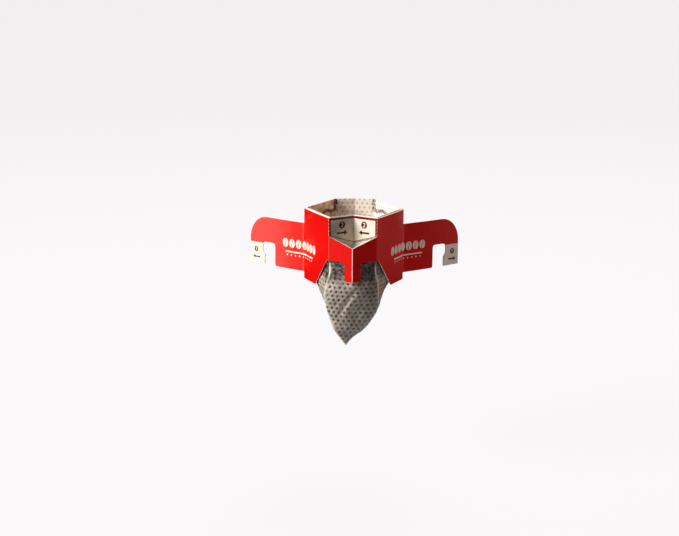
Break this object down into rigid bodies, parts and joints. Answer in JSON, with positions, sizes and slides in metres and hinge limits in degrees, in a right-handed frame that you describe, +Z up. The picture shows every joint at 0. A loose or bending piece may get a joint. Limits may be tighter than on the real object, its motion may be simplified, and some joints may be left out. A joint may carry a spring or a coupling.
{
  "type": "drip coffee bag",
  "caption": "Single-serve drip coffee bag, opened: folded card frame with two hooked arms round a pointed filter pouch of grounds.",
  "frame": {"origin": "on the level of the cup's rim, where the tops of both arm slots rest, midway between the two side corners of the mouth", "axes": "+Z up out of the mouth, X from arm to arm, the pressed ridge with its leg faces -Y, the arms sweep towards +Y"},
  "size_m": [0.1018, 0.0667, 0.0623],
  "materials": {
    "printed_card": "red gloss print on white card",
    "wet_filter": "wet point-bonded non-woven",
    "wet_grounds": "wet ground coffee"
  },
  "bodies": {
    "root": {"card_frame": "printed_card", "filter_bag": "wet_filter", "coffee_grounds": "wet_grounds"}
  },
  "joints": []
}
